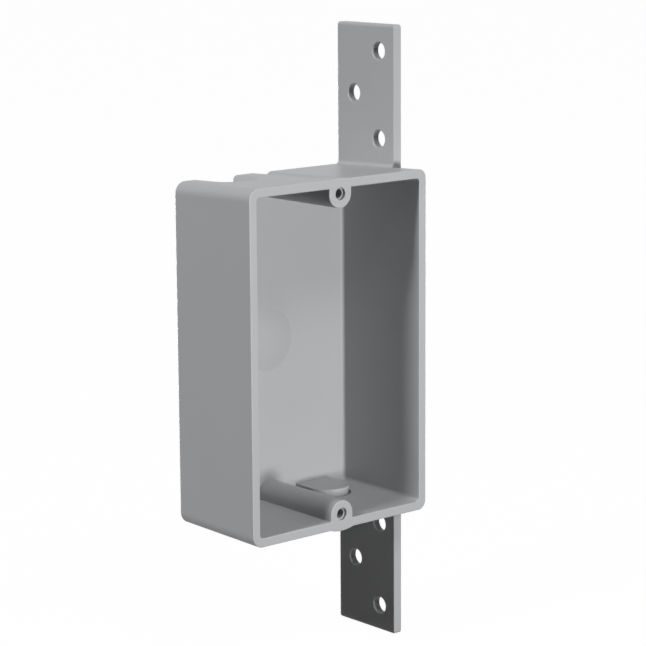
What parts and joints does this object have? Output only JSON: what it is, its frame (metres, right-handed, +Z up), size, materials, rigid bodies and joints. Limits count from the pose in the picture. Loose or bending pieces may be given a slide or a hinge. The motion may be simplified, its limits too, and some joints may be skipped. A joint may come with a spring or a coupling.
{
  "type": "new work outlet box",
  "caption": "Shallow moulded single-gang electrical box for new work, with device screw bosses, break-out cable plugs and a side flange that is nailed to a stud.",
  "frame": {"origin": "midway between the two device screw holes, on the plane of the rim", "axes": "+X across the opening to the flange side, +Y into the box from the rim to the back, +Z up along the flange"},
  "size_m": [0.0592, 0.0316, 0.1644],
  "materials": {
    "moulded_pvc": "satin grey, moulded"
  },
  "bodies": {
    "root": {"outlet_box": "moulded_pvc"}
  },
  "joints": []
}
